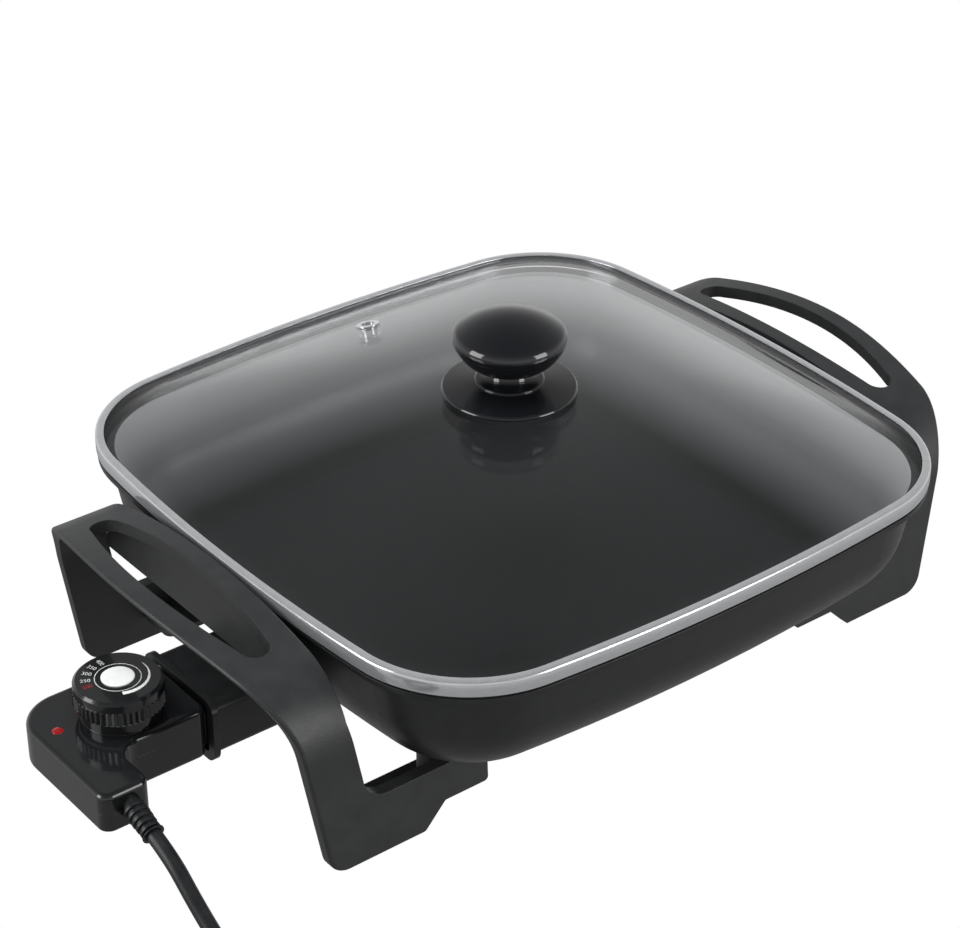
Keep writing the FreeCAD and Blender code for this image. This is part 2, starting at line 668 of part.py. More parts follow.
def build_knob():
    crest = dome_crest
    base_low = crest + d.knob_gasket_thick
    edge = base_low + d.knob_base_edge
    shelf = base_low + d.knob_base_height
    neck = crest + d.neck_height
    hole = d.knob_screw_radius + 0.3
    radius, collar = d.knob_base_radius, d.collar_radius
    turned_body("knob_gasket", [(radius - 8, crest), (radius - 2, crest),
                                (radius - 2, base_low), (radius - 8, base_low)])
    turned_body("knob_base", [
        (hole, base_low), (radius - 1, base_low), (radius, edge - 1.2, radius - 0.8, edge),
        ((radius + collar) / 2, shelf - 1.3, collar, shelf), (collar - 0.3, shelf + 1.2),
        (d.neck_radius + 2.0, shelf + 2.8, d.neck_radius + 0.6, neck), (hole, neck)])
    equator = crest + d.cap_height
    cap = d.cap_radius
    turned_body("lid_knob", [
        (hole, neck), (d.neck_radius + 1.5, neck), (d.neck_radius + 1.5, neck + 0.9),
        (d.neck_radius + 2.3, neck + 1.1), (cap - 6.8, equator - 12.0, cap - 1.6, equator - 5.6),
        (cap, equator - 1.0, cap - 1.6, equator + 2.8),
        domed(cap - 1.6, equator + 2.8, d.crown_height - 2.8),
        (0, equator - 4), (hole, equator - 4)])
    under = crest - d.glass_thick
    washer, head = 1.2, 2.8
    turned_body("knob_washer", [(hole, under - washer), (9.0, under - washer), (9.0, under),
                                (hole, under)])
    screw = d.knob_screw_radius
    turned_body("knob_screw", [(0, under - washer - head), (4.4, under - washer - head),
                               (4.8, under - washer), (screw, under - washer),
                               (screw, equator - 4.2), (0, equator - 4.2)])


def housing_corners():
    # Plan of the controller: a block by the pan and a tail that carries the cord
    small = d.small_round
    return [(-d.housing_outer, -d.tail_end, small), (-d.tail_inner, -d.tail_end, small),
            (-d.tail_inner, -d.housing_near, d.inside_round),
            (-d.housing_inner, -d.housing_near, small),
            (-d.housing_inner, d.housing_far, small),
            (-d.housing_outer, d.housing_far, d.far_round)]


def belly_corners():
    small = d.small_round
    return [(-d.belly_outer, -d.housing_near, small), (-d.housing_inner, -d.housing_near, small),
            (-d.housing_inner, d.housing_far, small), (-d.belly_outer, d.housing_far, small)]


def housing_screw_places():
    # Each post runs a little into the wall beside it
    inset = d.housing_wall + 3.0
    return [(-d.housing_inner - inset, d.housing_far - inset),
            (-d.housing_inner - inset, -d.housing_near + inset),
            (-d.housing_outer + inset + 5, d.housing_far - inset - 5),
            (-d.housing_outer + inset, -d.tail_end + inset + 8)]


def relief_place():
    tilt = Rotation(Vector(1, 0, 0), 90 + d.relief_tilt)
    return Placement(Vector(-d.cord_x, -d.tail_end, d.cord_exit_height), tilt)


def build_top_housing():
    body = new_body("controller_top_shell")
    plan = new_sketch(body, "plan", "XY_Plane", "Sizes.housing_split",
                      rounded_outline(housing_corners()))
    new_pad(body, plan, "Sizes.housing_top - Sizes.housing_split")
    new_fillet(body, level_edges(body.Shape, d.housing_top), "Sizes.top_round")
    collar = new_sketch(body, "collar", "XY_Plane", "Sizes.housing_top - Sizes.housing_wall",
                        [circle(-d.dial_x, -d.dial_y, d.dial_collar_radius)])
    new_pad(body, collar, "Sizes.dial_collar_height + Sizes.housing_wall")
    hollow = new_sketch(body, "hollow", "XY_Plane", "Sizes.housing_split",
                        rounded_outline(housing_corners(), d.housing_wall))
    new_pocket(body, hollow, "Sizes.housing_top - Sizes.housing_split - Sizes.housing_wall",
               backwards=True)
    posts = [circle(x, y, d.screw_radius + 1.4) for x, y in housing_screw_places()]
    posts = new_sketch(body, "posts", "XY_Plane", "Sizes.housing_split", posts)
    new_pad(body, posts, "Sizes.housing_top - Sizes.housing_split - Sizes.housing_wall / 2")
    holes = [circle(x, y, d.screw_radius) for x, y in housing_screw_places()]
    holes = new_sketch(body, "post_holes", "XY_Plane", "Sizes.housing_split", holes)
    new_pocket(body, holes, "Sizes.housing_top - Sizes.housing_split - Sizes.housing_wall - 1",
               backwards=True)
    through = new_sketch(body, "spindle_hole", "XY_Plane", "Sizes.housing_split",
                         [circle(-d.dial_x, -d.dial_y, d.spindle_radius + d.run_clear),
                          circle(-d.lens_x, 0, d.lens_radius)])
    new_pocket(body, through, "Sizes.housing_top - Sizes.housing_split + 10", backwards=True)
    return body


def build_bottom_housing():
    body = new_body("controller_bottom_shell")
    plan = new_sketch(body, "plan", "XY_Plane", "Sizes.housing_bottom",
                      rounded_outline(housing_corners()))
    new_pad(body, plan, "Sizes.housing_split - Sizes.housing_bottom")
    belly = new_sketch(body, "belly", "XY_Plane", "Sizes.belly_bottom",
                       rounded_outline(belly_corners()))
    new_pad(body, belly, "Sizes.housing_bottom - Sizes.belly_bottom")
    new_fillet(body, level_edges(body.Shape, d.belly_bottom), "Sizes.top_round")
    nose = new_sketch(body, "nose", "YZ_Plane", "-Sizes.housing_inner",
                      rectangle(-d.nose_half_y, d.nose_low, d.nose_half_y, d.nose_high, 3.0))
    new_pad(body, nose, "Sizes.nose_length")
    hollow = new_sketch(body, "hollow", "XY_Plane", "Sizes.housing_split",
                        rounded_outline(housing_corners(), d.housing_wall))
    new_pocket(body, hollow, "Sizes.housing_split - Sizes.housing_bottom - Sizes.housing_wall")
    deep = new_sketch(body, "belly_hollow", "XY_Plane", "Sizes.housing_split",
                      rounded_outline(belly_corners(), d.housing_wall))
    new_pocket(body, deep, "Sizes.housing_split - Sizes.belly_bottom - Sizes.housing_wall")
    posts = [circle(x, y, d.screw_head_radius + 0.8) for x, y in housing_screw_places()]
    posts = new_sketch(body, "posts", "XY_Plane", "Sizes.housing_bottom", posts)
    new_pad(body, posts, "Sizes.housing_split - Sizes.housing_bottom")
    holes = [circle(x, y, d.screw_radius + d.screw_clear) for x, y in housing_screw_places()]
    holes = new_sketch(body, "post_holes", "XY_Plane", "Sizes.housing_split + 1", holes)
    new_pocket(body, holes, "Sizes.housing_split - Sizes.belly_bottom + 2")
    heads = [circle(x, y, d.screw_head_radius + d.screw_clear)
             for x, y in housing_screw_places()]
    heads = new_sketch(body, "head_pockets", "XY_Plane", "Sizes.housing_bottom + 3", heads)
    new_pocket(body, heads, "Sizes.housing_bottom - Sizes.belly_bottom + 4")
    apart = d.terminal_spacing / 2
    bores = [circle(side * apart, d.terminal_height, d.pin_radius + d.clip_wall + d.run_clear)
             for side in (-1, 1)]
    bores.append(circle(0, d.terminal_height, d.probe_radius))
    bores = new_sketch(body, "nose_bores", "YZ_Plane", "-Sizes.housing_inner - 4", bores)
    new_pocket(body, bores, "Sizes.nose_length + 6", backwards=True)
    return body


def cut_relief(body, label):
    # The strain relief's seat is cut through the wall of each half of the housing
    stem = Part.makeCylinder(d.relief_radius - 1.14, 2 * d.relief_inside,
                             Vector(0, 0, -d.relief_inside - 1))
    stem.Placement = relief_place()
    feature(label, body.Shape.cut(stem))


def build_controller():
    cut_relief(build_top_housing(), "controller_top")
    cut_relief(build_bottom_housing(), "controller_bottom")
    screws = [upward_screw(x, y, d.housing_bottom + 3, d.housing_top - d.housing_wall - 1.4)
              for x, y in housing_screw_places()]
    feature("controller_screws", Part.makeCompound(screws))

    probe = rod(Vector(-d.probe_tail, 0, d.terminal_height), Vector(1, 0, 0), d.probe_radius,
                d.probe_tail - d.probe_tip)
    feature("probe_rod", probe.makeChamfer(0.8, [edge for edge in probe.Edges
                                                 if edge.BoundBox.XMin > -d.probe_tip - 0.1]))
    clips = []
    for side in (-1, 1):
        at = Vector(-d.housing_inner - 4, side * d.terminal_spacing / 2, d.terminal_height)
        outer = rod(at, Vector(1, 0, 0), d.pin_radius + d.run_clear + d.clip_wall - 0.02,
                    d.clip_length + 4)
        bore = rod(at - Vector(1, 0, 0), Vector(1, 0, 0), d.pin_radius + d.run_clear,
                   d.clip_length + 6)
        slit = block(at + Vector(-1, -0.4, 0), at + Vector(d.clip_length - 4, 0.4, 5))
        clips.append(outer.cut(bore).cut(slit))
    feature("contact_clips", Part.makeCompound(clips))

    # The probe's tail carries a steel frame, whose blades the dial's spindle presses
    tail = -d.probe_tail
    inside = d.belly_bottom + d.housing_wall
    frame = block(Vector(tail - 26, -9, inside), Vector(tail + 4, 9, inside + 1.2))
    frame = frame.fuse(block(Vector(tail, -9, inside), Vector(tail + 1.5, 9, 37)))
    hole = rod(Vector(tail - 1, 0, d.terminal_height), Vector(1, 0, 0), d.probe_radius, 4)
    feature("thermostat_frame", frame.cut(hole).removeSplitter())
    blades = []
    for lift in (1.2, 3.6):
        blade = block(Vector(tail - 25, -7, inside + lift), Vector(tail - 1, -2, inside + lift + 0.5))
        blades.append(blade)
    blades.append(block(Vector(tail - 6, -7, inside + 1.7), Vector(tail - 1, -2, inside + 3.6)))
    feature("thermostat_blades", blades[0].fuse(blades[1:]).removeSplitter())

    lens = new_body("indicator_lens")
    low = d.housing_top - d.housing_wall
    points = [(0, low), (d.lens_radius, low), (d.lens_radius, d.housing_top),
              domed(d.lens_radius, d.housing_top, 1.1)]
    revolve(lens, new_sketch(lens, "profile", "XZ_Plane", "0", profile(points)))
    lens.Placement = Placement(Vector(-d.lens_x, 0, 0), Rotation())
    lens.setExpression("Placement.Base.x", "-Sizes.lens_x")
    lamp = doc.addObject("Part::Cylinder", "Part_lamp")
    lamp.Label = "indicator_lamp"
    lamp.setExpression("Radius", "Sizes.lens_radius - 0.6")
    lamp.setExpression("Height", "Sizes.housing_top - Sizes.housing_bottom - 2 * Sizes.housing_wall")
    lamp.setExpression("Placement.Base.x", "-Sizes.lens_x")
    lamp.setExpression("Placement.Base.z", "Sizes.housing_bottom + Sizes.housing_wall")


def scalloped(radius, depth, count):
    points = []
    for step in range(2 * count):
        reach = radius - (depth if step % 2 else 0)
        angle = math.pi * step / count
        points.append(Vector(reach * math.cos(angle), reach * math.sin(angle), 0))
    return [Part.LineSegment(points[i - 1], points[i]) for i in range(len(points))]


def build_dial():
    low = d.housing_top + d.dial_collar_height + d.dial_gap
    knurl_low = low + d.dial_ring_height
    band_low = knurl_low + d.knurl_height
    top = band_low + d.dial_band_height
    collar = "Sizes.housing_top + Sizes.dial_collar_height + Sizes.dial_gap"
    grip = new_body("dial_grip")
    knurl = new_sketch(grip, "knurl", "XY_Plane", collar + " + Sizes.dial_ring_height",
                       scalloped(d.knurl_radius, d.knurl_depth, KNURLS))
    new_pad(grip, knurl, "Sizes.knurl_height")
    band = new_sketch(grip, "band", "XY_Plane",
                      collar + " + Sizes.dial_ring_height + Sizes.knurl_height - 0.5",
                      [circle(0, 0, d.dial_band_radius)])
    new_pad(grip, band, "Sizes.dial_band_height + 0.5")
    base = grip.Tip
    bevel = grip.newObject("PartDesign::Chamfer", "dial_bevel")
    bevel.Base = (base, level_edges(base.Shape, top))
    bevel.setExpression("Size", "Sizes.dial_bevel")
    doc.recompute()
    bore = new_sketch(grip, "bore", "XY_Plane", collar + " + Sizes.dial_ring_height",
                      [circle(0, 0, d.spindle_radius)])
    new_pocket(grip, bore, "Sizes.knurl_height + Sizes.dial_band_height - 2", backwards=True)
    skirt = turned_body("dial_ring", [(d.spindle_radius, low), (d.dial_ring_radius - 0.5, low),
                                      (d.dial_ring_radius, low + 0.5),
                                      (d.dial_ring_radius, knurl_low),
                                      (d.spindle_radius, knurl_low)])
    cap = turned_body("dial_cap", [(0, top), (d.dial_cap_radius, top),
                                   (d.dial_cap_radius, top + d.dial_cap_height - 0.2),
                                   (d.dial_cap_radius - 0.3, top + d.dial_cap_height),
                                   (0, top + d.dial_cap_height)])
    foot = d.housing_bottom + d.housing_wall + 4.5
    spindle = turned_body("dial_spindle", [(0, foot), (d.spindle_radius - 1, foot),
                                           (d.spindle_radius, foot + 1),
                                           (d.spindle_radius, top - 2), (0, top - 2)])
    for body in (grip, skirt, cap, spindle):
        body.setExpression("Placement.Base.x", "-Sizes.dial_x")
        body.setExpression("Placement.Base.y", "-Sizes.dial_y")


def build_relief():
    length, inside, radius = d.relief_length, d.relief_inside, d.relief_radius
    wire = d.cord_radius
    stem = 1.9
    step = (length - stem) / RELIEF_RINGS
    points = [(wire, -inside), (radius, -inside), (radius, -inside + 1.2),
              (radius - 1.2, -inside + 1.2), (radius - 1.2, stem)]
    for ring in range(RELIEF_RINGS):
        low = stem + ring * step * 0.96
        full = radius - 0.16 * ring
        points += [(full, low + 0.2), (full, low + step * 0.55), (full - 1.0, low + step * 0.6)]
        points += [(full - 1.0, low + step * 0.9)]
    points += [(radius - 0.2, length - 0.6), (radius - 0.2, length), (wire, length)]
    relief = turned_body("strain_relief", points)
    relief.Placement = relief_place()


def relief_end():
    return relief_place().multVec(Vector(0, 0, d.relief_length))


# The cord's route from the strain relief to the coil, as (y, z), chosen by hand
CORD_ROUTE = [(-80.6, 29.9), (-95.0, 19.0), (-110.4, 8.3), (-128.4, 3.6), (-149.0, 3.6)]
CORD_DRIFT = [0.0, 0.0, 0.5, -0.4, -0.4]


def cord_points():
    points = [relief_end()]
    for (y, z), drift in zip(CORD_ROUTE, CORD_DRIFT):
        points.append(Vector(-d.cord_x + drift, y, z))
    return points


def cord_path(points):
    edges, radii, here = [], [], points[0]
    for before_at, point, after_at in zip(points, points[1:], points[2:]):
        before, after = point - before_at, after_at - point
        shorter = min(before.Length, after.Length)
        before.normalize()
        after.normalize()
        half = before.getAngle(after) / 2
        cut = 0.45 * shorter
        radius = cut / math.tan(half)
        inward = (after - before).normalize()
        crown = point + inward * (radius / math.cos(half) - radius)
        edges.append(Part.LineSegment(here, point - before * cut).toShape())
        edges.append(Part.Arc(point - before * cut, crown, point + after * cut).toShape())
        radii.append(round(radius, 1))
        here = point + after * cut
    edges.append(Part.LineSegment(here, points[-1]).toShape())
    print("cord arc radii, mm:", radii)
    return Part.Wire(edges)


def biarc(start, heading, end, ending):
    # Two arcs that leave one point along its heading and reach the other along its own
    across = end - start
    both = heading + ending
    a = 2 * (1 - heading.dot(ending))
    b = 2 * across.dot(both)
    c = -across.dot(across)
    reach = -c / b if abs(a) < 1e-9 else (-b + math.sqrt(b * b - 4 * a * c)) / (2 * a)
    knee_one, knee_two = start + heading * reach, end - ending * reach
    join = (knee_one + knee_two) * 0.5
    arcs = []
    for first, knee, last in ((start, knee_one, join), (join, knee_two, end)):
        middle = (first + last) * 0.5
        half = (last - first).Length / 2
        rise = (knee - middle).Length
        share = half / (half + math.hypot(rise, half))
        arcs.append(Part.Arc(first, middle + (knee - middle) * share, last).toShape())
    return arcs


COIL_TURNS_IN = 1.5
COIL_TURNS_CLIMB = 0.5


def coil_point(turn, centre, level):
    # The coil spirals in on the table, climbs one layer in half a turn, and spirals out again
    climb_end = COIL_TURNS_IN + COIL_TURNS_CLIMB
    inner = d.coil_radius - COIL_TURNS_IN * d.coil_pitch
    if turn <= COIL_TURNS_IN:
        radius, rise, slope, climb = d.coil_radius - turn * d.coil_pitch, 0.0, -1, 0.0
    elif turn < climb_end:
        share = (turn - COIL_TURNS_IN) / COIL_TURNS_CLIMB
        radius, slope = inner, 0
        rise = d.coil_pitch * (1 - math.cos(math.pi * share)) / 2
        climb = d.coil_pitch * math.pi * math.sin(math.pi * share) / 2 / COIL_TURNS_CLIMB
    else:
        radius = inner + (turn - climb_end) * d.coil_pitch
        rise, slope, climb = d.coil_pitch, 1, 0.0
    if turn in (0.0, COIL_TURNS_IN, climb_end, climb_end + COIL_TURNS_IN):
        slope = 0
    angle = -2 * math.pi * turn
    out = Vector(math.cos(angle), math.sin(angle), 0)
    along = Vector(math.sin(angle), -math.cos(angle), 0)
    place = centre + out * radius + Vector(0, 0, level + rise)
    heading = along * (2 * math.pi * radius) + out * (slope * d.coil_pitch)
    return place, (heading + Vector(0, 0, climb)).normalize()


def coil_path(start):
    straight = 2 * d.cord_radius
    centre = Vector(start.x - d.coil_radius, start.y - straight, 0)
    turns = 2 * COIL_TURNS_IN + COIL_TURNS_CLIMB
    count = int(round(turns * 4))
    places = [coil_point(step / 4.0, centre, start.z) for step in range(count + 1)]
    edges = [Part.LineSegment(start, places[0][0]).toShape()]
    for (first, heading), (last, ending) in zip(places, places[1:]):
        edges += biarc(first, heading, last, ending)
    finish = places[-1][0] + places[-1][1] * d.plug_stand_off
    edges.append(Part.LineSegment(places[-1][0], finish).toShape())
    return Part.Wire(edges), finish, places[-1][1]


def least_gap(path, diameter):
    points = path.discretize(Distance=3.0)
    apart = int(math.pi * d.coil_radius / 3.0)
    least = 1e9
    for index, point in enumerate(points):
        for other in points[index + apart:]:
            least = min(least, (other - point).Length)
    return least - diameter


def build_cord():
    points = cord_points()
    path = cord_path(points)
    cord = tube(path, d.cord_radius)
    feature("cord", cord)
    section = math.pi * d.cord_radius ** 2
    print("cord tube: length", round(path.Length, 1), "volume ratio",
          round(cord.Volume / (section * path.Length), 4))
    route, finish, heading = coil_path(points[-1])
    coil = tube(route, d.cord_radius)
    feature("cord_coil", coil)
    print("coil: length", round(route.Length, 1), "volume ratio",
          round(coil.Volume / (section * route.Length), 4), "least gap",
          round(least_gap(route, 2 * d.cord_radius), 2))
    build_plug(finish)


def build_plug(start):
    # The plug lies flat beside the coil, its cable end face to face with the cord
    wide, tall, length = d.plug_half_width, d.plug_half_height, d.plug_length
    wires = []
    for along, share_x, share_z in ((0, 0.42, 0.48), (9, 0.5, 0.56), (16, 0.9, 0.92),
                                    (24, 1.0, 1.0), (length, 0.94, 1.0)):
        outline = rectangle(-wide * share_x, -tall * share_z, wide * share_x, tall * share_z,
                            0.38 * tall * share_z)
        wire = wire_of(outline)
        wire.Placement = Placement(start + Vector(0, along, 0), Rotation(Vector(1, 0, 0), 90))
        wires.append(wire)
    feature("plug_body", Part.makeLoft(wires, True, True))
    blades = []
    for side in (-1, 1):
        x = start.x + side * d.blade_spacing / 2
        low = Vector(x - d.blade_thick / 2, start.y + length, start.z - d.blade_width / 2)
        high = Vector(x + d.blade_thick / 2, start.y + length + d.blade_length,
                      start.z + d.blade_width / 2)
        hole = rod(Vector(x - 2, start.y + length + d.blade_length - 4, start.z),
                   Vector(1, 0, 0), 1.5, 4)
        blades.append(block(low, high).cut(hole))
    feature("plug_blades", Part.makeCompound(blades))


def build_leads():
    # Two short leads run inside the housing from the strain relief to the contact clips
    leads = []
    level = d.housing_bottom + d.housing_wall + 1.3
    for side in (-1, 1):
        start = Vector(-d.cord_x + side * 1.6, -d.tail_end + d.relief_inside + 0.5, level + 6.5)
        turn = Vector(start.x + 2, -d.housing_near + side * 2 + 6, level)
        end = Vector(-d.housing_inner - 5, side * d.terminal_spacing / 2, d.terminal_height + 2.0)
        knee = Vector(end.x - 10, end.y, level + side * 0.2)
        path = cord_path_quiet([start, turn, knee, end])
        leads.append(tube(path, 1.0))
    feature("inner_leads", Part.makeCompound(leads))


def cord_path_quiet(points):
    edges, here = [], points[0]
    for before_at, point, after_at in zip(points, points[1:], points[2:]):
        before, after = (point - before_at), (after_at - point)
        cut = 0.4 * min(before.Length, after.Length)
        before.normalize()
        after.normalize()
        half = before.getAngle(after) / 2
        radius = cut / math.tan(half)
        crown = point + (after - before).normalize() * (radius / math.cos(half) - radius)
        edges.append(Part.LineSegment(here, point - before * cut).toShape())
        edges.append(Part.Arc(point - before * cut, crown, point + after * cut).toShape())
        here = point + after * cut
    edges.append(Part.LineSegment(here, points[-1]).toShape())
    return Part.Wire(edges)


NODES = [
    "pan", "heating_element", "terminal_pins", "terminal_insulators", "left_handle",
    "right_handle", "handle_screws", "socket_guard", "guard_screws", "lid_glass", "lid_band",
    "lid_seal", "vent_grommet", "knob_gasket", "knob_base", "lid_knob", "knob_washer",
    "knob_screw", "controller_top", "controller_bottom", "controller_screws", "probe_rod",
    "contact_clips", "thermostat_frame", "thermostat_blades", "indicator_lens",
    "indicator_lamp", "inner_leads", "dial_grip", "dial_ring", "dial_cap", "dial_spindle",
    "strain_relief", "cord", "cord_coil", "plug_body", "plug_blades",
]


def write_parts():
    doc.recompute()
    for item in doc.Objects:
        if "Invalid" in item.State or "Error" in item.State:
            raise ValueError(item.Label + " failed: " + ", ".join(item.State))
    os.makedirs("parts", exist_ok=True)
    for label in NODES:
        shape = doc.getObjectsByLabel(label)[0].Shape
        if shape.isNull() or not shape.isValid():
            raise ValueError(label + " has no valid shape")
        shape.exportStep(os.path.join("parts", label + ".step"))


casting = build_pan()
build_element()
finish_pan(casting, build_cavity())
build_handles()
build_guard()
build_lid()
build_knob()
build_controller()
build_dial()
build_relief()
build_leads()
build_cord()
write_parts()
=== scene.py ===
import json
import math

import bpy
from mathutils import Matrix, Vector


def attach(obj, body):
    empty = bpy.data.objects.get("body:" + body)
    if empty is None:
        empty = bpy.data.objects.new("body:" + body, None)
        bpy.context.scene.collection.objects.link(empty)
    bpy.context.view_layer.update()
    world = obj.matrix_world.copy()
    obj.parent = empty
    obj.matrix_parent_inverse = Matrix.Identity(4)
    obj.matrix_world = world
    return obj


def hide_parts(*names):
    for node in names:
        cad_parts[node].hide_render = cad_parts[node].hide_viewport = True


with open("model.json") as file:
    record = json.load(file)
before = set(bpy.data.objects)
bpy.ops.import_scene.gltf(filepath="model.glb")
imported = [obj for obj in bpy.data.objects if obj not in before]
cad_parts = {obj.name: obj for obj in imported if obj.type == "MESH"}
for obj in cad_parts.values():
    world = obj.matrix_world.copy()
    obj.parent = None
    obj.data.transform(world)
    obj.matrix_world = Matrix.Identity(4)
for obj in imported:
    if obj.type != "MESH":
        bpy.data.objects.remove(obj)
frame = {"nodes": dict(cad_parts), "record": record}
scene = bpy.context.scene
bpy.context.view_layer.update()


# Camera
# It stands where the photograph's camera stood, above the near left corner, with a long lens.
# Places are in metres, the lens and its sensor in millimetres.
CAMERA_PLACE = Vector((-0.6528, -0.8090, 0.7180))
CAMERA_AIM = Vector((-0.018604, -0.002318, 0.0960))
SENSOR_WIDTH = 36.0
FOCAL_LENGTH = 99.81

camera_data = bpy.data.cameras.new("camera")
camera_data.sensor_width = SENSOR_WIDTH
camera_data.lens = FOCAL_LENGTH
camera_data.clip_start = 0.05
camera_data.clip_end = 30.0
camera = bpy.data.objects.new("camera", camera_data)
scene.collection.objects.link(camera)
camera.location = CAMERA_PLACE
camera.rotation_mode = "QUATERNION"
camera.rotation_quaternion = (CAMERA_AIM - CAMERA_PLACE).to_track_quat("-Z", "Y")
scene.camera = camera
scene.view_settings.view_transform = "Standard"


# Pan
# One aluminium casting: a square bowl with bowed sides, a lip, and a groove for the element.
# It is sprayed with a baked nonstick coat in satin black, and its inner wall has a painted
# reflection that pales from the dark floor to the lip.
# Sizes are in millimetres from here on, unless a section says otherwise.
FLOOR_TOP = 39.0
LIP_TOP = 93.0
FLOOR_EDGE = 0.5
EDGE_SOFTENING = 0.6
SHADE_STOPS = (0.35, 0.65)


def linear(text):
    # An sRGB hex colour as linear values
    values = []
    for start in (0, 2, 4):
        part = int(text[start:start + 2], 16) / 255
        values.append(part / 12.92 if part <= 0.04045 else ((part + 0.055) / 1.055) ** 2.4)
    return (*values, 1.0)


def join(made, source, output, target, socket):
    made.node_tree.links.new(source.outputs[output], target.inputs[socket])


def node(made, kind, links=(), stops=(), **values):
    # Adds one node, sets its sockets and colour stops, and links (socket, source, output) into it
    added = made.node_tree.nodes.new(kind)
    for name, value in values.items():
        added.inputs[name.replace("_", " ")].default_value = value
    for socket, source, output in links:
        join(made, source, output, added, socket)
    while stops and len(added.color_ramp.elements) < len(stops):
        added.color_ramp.elements.new(1.0)
    for index, (place, colour) in enumerate(stops):
        element = added.color_ramp.elements[index]
        element.position = place
        element.color = linear(colour)
    return added


def surface(name, size, relief, rough, drift, stretch=(1.0, 1.0, 1.0)):
    # A grainy relief, softened edges, and a gloss that drifts in patches a dozen grains wide.
    # The real grain is mostly finer than a pixel, and is drawn as coarse as it needs to show
    made = bpy.data.materials.new(name)
    made.use_nodes = True
    shader = made.node_tree.nodes["Principled BSDF"]
    place = node(made, "ShaderNodeTexCoord")
    grid = node(made, "ShaderNodeMapping", [("Vector", place, "Object")], Scale=stretch)
    soft = node(made, "ShaderNodeBevel", Radius=EDGE_SOFTENING / 1000)
    soft.samples = 6
    fine = node(made, "ShaderNodeTexNoise", [("Vector", grid, "Vector")],
                Scale=1000 / size, Detail=4.0, Roughness=0.55)
    bump = node(made, "ShaderNodeBump", [("Height", fine, "Fac"), ("Normal", soft, "Normal")],
                Strength=relief, Distance=size / 2000)
    join(made, bump, "Normal", shader, "Normal")
    wide = node(made, "ShaderNodeTexNoise", [("Vector", grid, "Vector")],
                Scale=80 / size, Detail=5.0, Roughness=0.6)
    gloss = node(made, "ShaderNodeMapRange", [("Value", wide, "Fac")],
                 From_Min=0.3, From_Max=0.7, To_Min=rough - drift, To_Max=rough + drift)
    join(made, gloss, "Result", shader, "Roughness")
    return made, shader, wide


def dress(made, *slots):
    # Every CAD piece in one of these material slots takes the finish
    for part in frame["record"]["subparts"]:
        if part["material_slot"] in slots:
            materials = frame["nodes"][part["node"]].data.materials
            materials.clear()
            materials.append(made)


def nonstick_coat_and_painted_reflection():
    # Satin and faintly mottled, as sprayed; on the inner wall a painted reflection pales from the
    # dark floor to the lip
    made, shader, wide = surface("nonstick_coat_and_painted_reflection", 0.6, 0.10, 0.36, 0.05)
    outer = node(made, "ShaderNodeValToRGB", [("Fac", wide, "Fac")],
                 stops=tuple(zip(SHADE_STOPS, ("171819", "1d1e1f"))))
    place = node(made, "ShaderNodeTexCoord")
    split = node(made, "ShaderNodeSeparateXYZ", [("Vector", place, "Object")])
    rise = node(made, "ShaderNodeMapRange", [("Value", split, "Z")],
                From_Min=FLOOR_TOP / 1000, From_Max=LIP_TOP / 1000)
    # The pale stops are a painted reflection of the room in the glossy wall, not a paler coat
    inner = node(made, "ShaderNodeValToRGB", [("Fac", rise, "Result")],
                 stops=((0.05, "161617"), (0.45, "77777a"), (1.0, "dedee0")))
    # The inner wall is where a face above the floor points back at the pan's upright axis
    flat = node(made, "ShaderNodeVectorMath", [(0, place, "Object")])
    flat.operation = "MULTIPLY"
    flat.inputs[1].default_value = (1.0, 1.0, 0.0)
    geometry = node(made, "ShaderNodeNewGeometry")
    facing = node(made, "ShaderNodeVectorMath", [(0, flat, "Vector"), (1, geometry, "Normal")])
    facing.operation = "DOT_PRODUCT"
    inward = node(made, "ShaderNodeMapRange", [("Value", facing, "Value")],
                  From_Min=0.0, From_Max=-0.004)
    above = node(made, "ShaderNodeMapRange", [("Value", split, "Z")],
                 From_Min=(FLOOR_TOP - FLOOR_EDGE) / 1000, From_Max=(FLOOR_TOP + FLOOR_EDGE) / 1000)
    inside = node(made, "ShaderNodeMath", [(0, inward, "Result"), (1, above, "Result")])
    inside.operation = "MULTIPLY"
    mixed = node(made, "ShaderNodeMixRGB", [("Fac", inside, "Value"), ("Color1", outer, "Color"),
                                            ("Color2", inner, "Color")])
    join(made, mixed, "Color", shader, "Base Color")
    shader.inputs["Coat Weight"].default_value = 0.15
    shader.inputs["Coat Roughness"].default_value = 0.22
    return made


dress(nonstick_coat_and_painted_reflection(), "nonstick")


# Heating element and terminals
# One steel-sheathed loop lies clenched in the groove under the pan's floor. Its ends carry
# zinc-plated pins in fired ceramic collars, and the screws are zinc-plated too.
def finish(name, colours, size, relief, rough, drift, stretch=(1.0, 1.0, 1.0), **settings):
    # A surface that drifts between two close shades, with the rest of its shader settings
    made, shader, wide = surface(name, size, relief, rough, drift, stretch)
    shades = node(made, "ShaderNodeValToRGB", [("Fac", wide, "Fac")],
                  stops=tuple(zip(SHADE_STOPS, colours)))
    join(made, shades, "Color", shader, "Base Color")
    for socket, value in settings.items():
        shader.inputs[socket.replace("_", " ")].default_value = value
    return made


def drawn_metal(name, colours, rough):
    # Wire and strip stock: faint lines, five times as long as they are wide, dull the shine
    return finish(name, colours, 0.4, 0.12, rough, 0.06, (0.2, 1.0, 1.0), Metallic=1.0)


# Heat leaves the sheath brownish and dull, zinc is a cool pale grey, and the ceramic is cream
dress(drawn_metal("heat_tinted_sheath", ("6a6460", "7d766c"), 0.42), "element_sheath")
dress(drawn_metal("zinc_plated_steel", ("a3a6ab", "b4b7bb"), 0.34),
      "terminal_steel", "screw_steel")
dress(finish("fired_ceramic", ("d8d2c2", "e4dfd2"), 0.6, 0.2, 0.6, 0.08), "terminal_ceramic")


